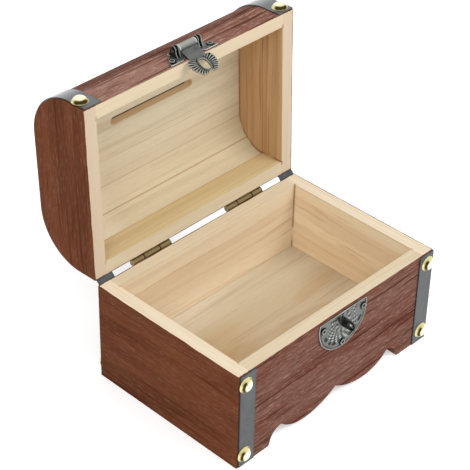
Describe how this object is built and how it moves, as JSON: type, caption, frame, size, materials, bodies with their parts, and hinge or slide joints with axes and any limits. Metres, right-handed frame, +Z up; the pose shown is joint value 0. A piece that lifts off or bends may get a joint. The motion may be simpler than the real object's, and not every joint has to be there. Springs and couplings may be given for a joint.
{
  "type": "wooden money box",
  "caption": "Small treasure-chest money box in stained wood: D-shaped lid on hinges with a coin slot, leather straps, dome nails, a swinging padlock hasp and a scalloped apron.",
  "frame": {"origin": "middle of the whole part's footprint, on the table, under the box with its lid open", "axes": "+Z up, -Y towards the front with the catch, +X to the right seen from the front"},
  "size_m": [0.15, 0.1564, 0.1713],
  "materials": {
    "stained_wood": "red-brown stain, wire-brushed along the grain, bare pale wood inside",
    "bare_wood": "bare pale softwood, sanded",
    "leather_strap": "slate grey imitation leather, matt",
    "brass_dome": "pale brass plate, polished",
    "antique_brass": "dark antiqued brass",
    "antique_pewter": "antiqued dark grey metal, rubbed bright on edges"
  },
  "bodies": {
    "base": {"base_left_side": "stained_wood", "base_right_side": "stained_wood", "base_front_panel": "stained_wood", "base_back_panel": "stained_wood", "base_bottom_panel": "bare_wood", "base_front_strap_left": "leather_strap", "base_front_strap_right": "leather_strap", "base_back_strap_left": "leather_strap", "base_back_strap_right": "leather_strap", "base_dome_nails": "brass_dome", "catch_plate": "antique_pewter", "catch_staple": "antique_pewter", "catch_nails": "antique_pewter", "hinge_base_leaf_left": "antique_brass", "hinge_base_leaf_right": "antique_brass", "hinge_base_nails": "antique_brass", "hinge_pins": "antique_brass"},
    "lid": {"lid_left_end": "stained_wood", "lid_right_end": "stained_wood", "lid_front_rail": "stained_wood", "lid_back_rail": "stained_wood", "lid_top_shell": "stained_wood", "lid_strap_left": "leather_strap", "lid_strap_right": "leather_strap", "lid_dome_nails": "brass_dome", "hinge_lid_leaf_left": "antique_brass", "hinge_lid_leaf_right": "antique_brass", "hinge_lid_nails": "antique_brass", "hasp_plate": "antique_pewter", "hasp_pin": "antique_pewter", "hasp_nails": "antique_pewter"},
    "hasp": {"hasp_tongue": "antique_pewter"}
  },
  "joints": [
    {"name": "lid_hinge", "type": "hinge", "parent": "base", "child": "lid", "pos_m": [0, 0.03431, 0.06075], "axis": [1, 0, 0], "range_deg": [0, 92.3]},
    {"name": "hasp_swing", "type": "hinge", "parent": "lid", "child": "hasp", "pos_m": [0.0016, 0.04577, 0.16788], "axis": [-1, 0, 0], "range_deg": [0, 55.38]}
  ],
  "couplings": [
    {"joint": "hasp_swing", "follows": "lid_hinge", "ratio": 0.6}
  ]
}
